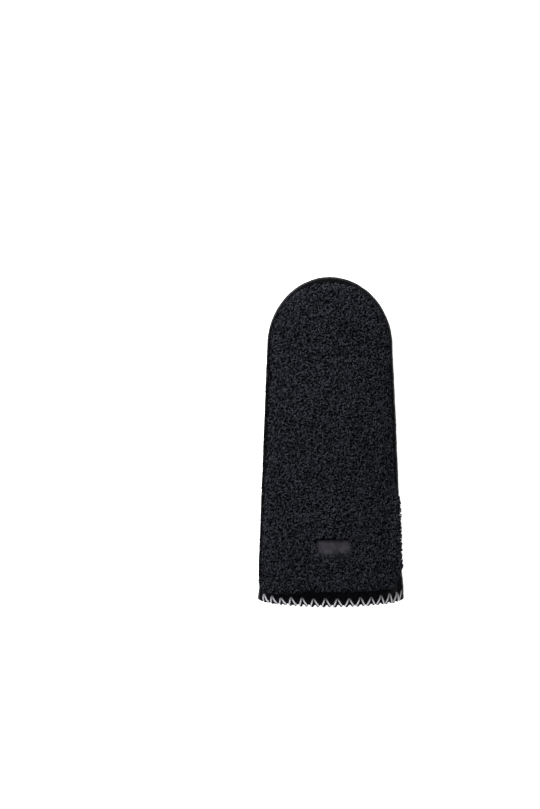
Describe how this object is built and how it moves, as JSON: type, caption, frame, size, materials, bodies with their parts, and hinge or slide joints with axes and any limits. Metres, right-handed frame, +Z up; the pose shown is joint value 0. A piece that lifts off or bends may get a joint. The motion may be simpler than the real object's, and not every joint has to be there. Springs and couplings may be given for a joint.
{
  "type": "sheepskin mitten",
  "caption": "Right-hand mitten with a curly sheepskin back, suede palm and thumb, raw seam edges and a zigzag-stitched hem, lying palm down with the thumb folded under the palm.",
  "frame": {"origin": "on the surface that the mitten lies on, under the middle of its bounding box", "axes": "+Y from the hem to the fingertips, +Z up through the back of the hand, +X away from the thumb"},
  "size_m": [0.1208, 0.275, 0.049],
  "materials": {
    "suede": "black suede, matt with a short nap",
    "skin": "black leather, matt",
    "wool": "dark navy-charcoal curly wool",
    "label": "purple-grey leather, satin"
  },
  "bodies": {
    "root": {"palm_panel": "suede", "back_panel": "skin", "back_fleece": "wool", "label_patch": "label", "thumb_front": "suede", "thumb_back": "suede"}
  },
  "joints": []
}
